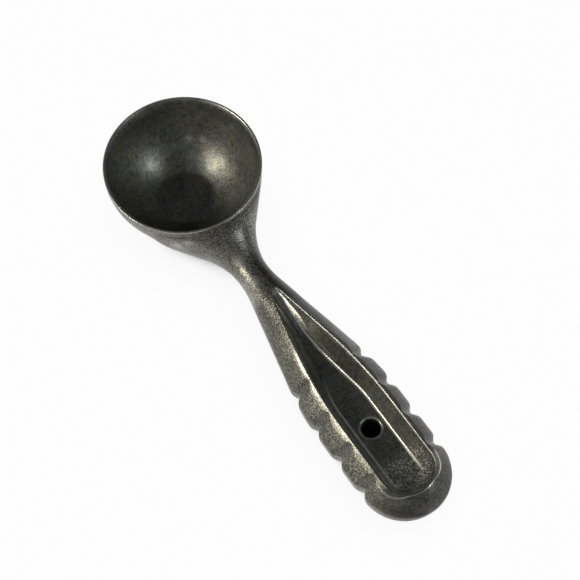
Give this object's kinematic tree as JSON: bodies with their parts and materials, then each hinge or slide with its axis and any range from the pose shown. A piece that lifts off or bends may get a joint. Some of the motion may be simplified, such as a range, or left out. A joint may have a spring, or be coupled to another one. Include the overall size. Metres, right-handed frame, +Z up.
{
  "type": "ice cream scoop",
  "caption": "One-piece cast aluminium ice cream scoop: a deep round cup, a waisted neck, and a notched finger grip with a long pointed trough and a hang hole.",
  "frame": {"origin": "middle of the cup's flat underside, on the surface that the scoop rests on", "axes": "+X from the cup along the handle to the end of the grip, +Z up out of the cup's mouth, +Y to the left of someone who looks along +X"},
  "size_m": [0.184, 0.058, 0.027],
  "materials": {
    "bowl": "as cast, dark grey with wear, satin inside the cup",
    "neck": "as cast, dark grey with wear",
    "grip": "as cast, dark grey with wear, rough in the trough"
  },
  "bodies": {
    "root": {"bowl": "bowl", "neck": "neck", "grip": "grip"}
  },
  "joints": []
}
